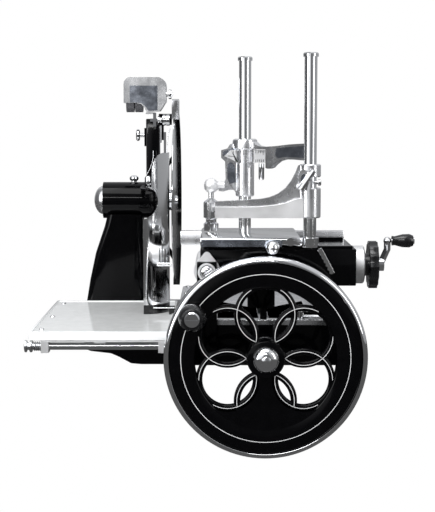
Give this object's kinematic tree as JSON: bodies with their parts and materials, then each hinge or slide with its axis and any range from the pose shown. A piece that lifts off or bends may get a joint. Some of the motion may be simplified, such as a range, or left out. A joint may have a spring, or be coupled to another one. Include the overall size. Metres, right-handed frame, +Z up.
{
  "type": "hand crank meat slicer",
  "caption": "Counter-top slicer with a petal flywheel that drives a round blade and a sliding carriage, with a meat clamp, a slice tray and a swivelling blade sharpener.",
  "frame": {"origin": "centre of the base's underside, where it stands on its pedestal", "axes": "+Z up, -Y towards the operator at the flywheel, +X towards the feed crank"},
  "size_m": [0.6732, 0.685, 0.676],
  "materials": {
    "black_enamel": "gloss black enamel",
    "chrome": "polished",
    "polished_aluminium": "polished",
    "white_enamel": "white enamel",
    "blade_steel": "ground, concentric marks",
    "plain_steel": "machined, oiled",
    "black_plastic": "moulded, semi-gloss",
    "grinding_stone": "gritty",
    "bronze": "turned"
  },
  "bodies": {
    "stand": {"base_casting": "black_enamel", "base_cover": "black_enamel", "deck_plate": "polished_aluminium", "front_bush": "bronze", "drive_bridge": "black_enamel", "side_bracket": "black_enamel", "column": "black_enamel", "blade_housing": "black_enamel", "housing_cap": "chrome", "oil_cup": "chrome", "sharpener_post": "black_enamel", "blade_guard": "black_enamel", "guard_cap": "polished_aluminium", "slice_deflector": "polished_aluminium", "deflector_foot": "black_plastic", "deflector_stay": "black_enamel", "tray": "white_enamel", "rod_hanger": "chrome", "tray_rod_spring": "plain_steel", "carriage_rail": "chrome", "front_support": "black_enamel", "rear_support": "black_enamel", "blade_chain": "plain_steel"},
    "flywheel": {"flywheel_casting": "black_enamel", "flywheel_rim": "chrome", "hub_dome": "chrome", "main_shaft": "plain_steel", "wheel_handle_stud": "chrome"},
    "wheel_handle": {"wheel_handle": "black_plastic"},
    "crank_disc": {"crank_disc": "plain_steel"},
    "cross_shaft": {"cross_shaft": "plain_steel"},
    "blade": {"blade": "blade_steel", "blade_spindle": "chrome"},
    "deflector_lever": {"deflector_lever": "chrome"},
    "sharpener": {"sharpener_box": "polished_aluminium"},
    "sharpener_stones": {"sharpener_stones": "grinding_stone"},
    "sharpener_thumbscrew": {"sharpener_thumbscrew": "chrome"},
    "tray_rod": {"tray_rod": "chrome"},
    "carriage_lock": {"carriage_lock": "chrome"},
    "carriage": {"carriage_body": "black_enamel", "rail_sleeve": "chrome", "rear_beam": "polished_aluminium", "follower": "black_enamel", "connecting_rod": "plain_steel", "ratchet_strip": "chrome", "thickness_ring": "chrome"},
    "carriage_roller": {"carriage_roller": "plain_steel"},
    "table_knob": {"table_knob": "chrome"},
    "thickness_wheel": {"thickness_wheel": "black_plastic"},
    "feed_crank": {"feed_screw": "plain_steel", "crank_arm": "chrome"},
    "crank_grip": {"crank_grip": "black_plastic"},
    "table": {"table_top": "chrome", "left_rod": "chrome", "right_rod": "chrome"},
    "clamp": {"clamp_slider": "polished_aluminium", "clamp_scale": "chrome"},
    "clamp_foot": {"clamp_foot": "chrome"},
    "press": {"press_arm": "polished_aluminium"},
    "press_lever": {"press_lever": "chrome"}
  },
  "joints": [
    {"name": "flywheel_turn", "type": "hinge", "parent": "stand", "child": "flywheel", "pos_m": [0, -0.32, 0.028], "axis": [0, 1, 0], "continuous": true},
    {"name": "wheel_handle_spin", "type": "hinge", "parent": "flywheel", "child": "wheel_handle", "pos_m": [-0.12107, -0.32, 0.10219], "axis": [0, 1, 0], "continuous": true},
    {"name": "crank_disc_turn", "type": "hinge", "parent": "stand", "child": "crank_disc", "pos_m": [0, 0.05, 0.055], "axis": [0, 0, 1], "continuous": true},
    {"name": "cross_shaft_turn", "type": "hinge", "parent": "stand", "child": "cross_shaft", "pos_m": [-0.258, 0.146, 0.028], "axis": [1, 0, 0], "continuous": true},
    {"name": "blade_turn", "type": "hinge", "parent": "stand", "child": "blade", "pos_m": [-0.1668, 0.13, 0.265], "axis": [1, 0, 0], "continuous": true},
    {"name": "deflector_lever_turn", "type": "hinge", "parent": "stand", "child": "deflector_lever", "pos_m": [-0.177, -0.062, 0.157], "axis": [1, 0, 0], "range_deg": [0, 40]},
    {"name": "sharpener_swivel", "type": "hinge", "parent": "stand", "child": "sharpener", "pos_m": [-0.2075, 0.13, 0.426], "axis": [0, 0, 1], "range_deg": [0, 90]},
    {"name": "stones_spin", "type": "hinge", "parent": "sharpener", "child": "sharpener_stones", "pos_m": [-0.2434, 0.13, 0.458], "axis": [1, 0, 0], "continuous": true},
    {"name": "thumbscrew_turn", "type": "hinge", "parent": "stand", "child": "sharpener_thumbscrew", "pos_m": [-0.221, 0.13, 0.394], "axis": [1, 0, 0], "range_deg": [-360, 360]},
    {"name": "tray_rod_pull", "type": "slide", "parent": "stand", "child": "tray_rod", "axis": [-1, 0, 0], "range_m": [0, 0.008], "stiffness_N_per_m": 400},
    {"name": "carriage_lock_turn", "type": "hinge", "parent": "stand", "child": "carriage_lock", "pos_m": [0.062, -0.214, 0.08], "axis": [0, 0, 1], "range_deg": [-60, 0]},
    {"name": "carriage_travel", "type": "slide", "parent": "stand", "child": "carriage", "axis": [0, 1, 0], "range_m": [0, 0.22]},
    {"name": "roller_spin", "type": "hinge", "parent": "carriage", "child": "carriage_roller", "pos_m": [0.109, -0.145, 0.1245], "axis": [1, 0, 0], "range_deg": [-1055, 5]},
    {"name": "table_knob_slide", "type": "slide", "parent": "carriage", "child": "table_knob", "axis": [1, 0, 0], "range_m": [-0.014, 0.014]},
    {"name": "thickness_wheel_turn", "type": "hinge", "parent": "carriage", "child": "thickness_wheel", "pos_m": [0.1776, -0.17, 0.169], "axis": [1, 0, 0], "range_deg": [0, 300]},
    {"name": "feed_crank_turn", "type": "hinge", "parent": "carriage", "child": "feed_crank", "pos_m": [0.2009, -0.17, 0.169], "axis": [1, 0, 0], "range_deg": [-1805, 3605]},
    {"name": "crank_grip_spin", "type": "hinge", "parent": "feed_crank", "child": "crank_grip", "pos_m": [0.227, -0.17, 0.211], "axis": [1, 0, 0], "continuous": true},
    {"name": "table_feed", "type": "slide", "parent": "carriage", "child": "table", "axis": [1, 0, 0], "range_m": [-0.04, 0.08]},
    {"name": "clamp_height", "type": "slide", "parent": "table", "child": "clamp", "axis": [0, 0, 1], "range_m": [0, 0.13]},
    {"name": "clamp_foot_turn", "type": "hinge", "parent": "clamp", "child": "clamp_foot", "pos_m": [-0.0915, -0.125, 0.2945], "axis": [0, 0, 1], "continuous": true},
    {"name": "press_height", "type": "slide", "parent": "table", "child": "press", "axis": [0, 0, 1], "range_m": [-0.03, 0.004]},
    {"name": "press_lever_turn", "type": "hinge", "parent": "press", "child": "press_lever", "pos_m": [0.058, -0.2783, 0.3065], "axis": [0, 1, 0], "range_deg": [-25, 35]}
  ],
  "couplings": [
    {"joint": "crank_disc_turn", "follows": "flywheel_turn", "ratio": 1},
    {"joint": "cross_shaft_turn", "follows": "flywheel_turn", "ratio": -1.5},
    {"joint": "blade_turn", "follows": "flywheel_turn", "ratio": -3},
    {"joint": "feed_crank_turn", "follows": "table_feed", "rad_per_m": 785.4},
    {"joint": "roller_spin", "follows": "carriage_travel", "rad_per_m": -83.333}
  ]
}
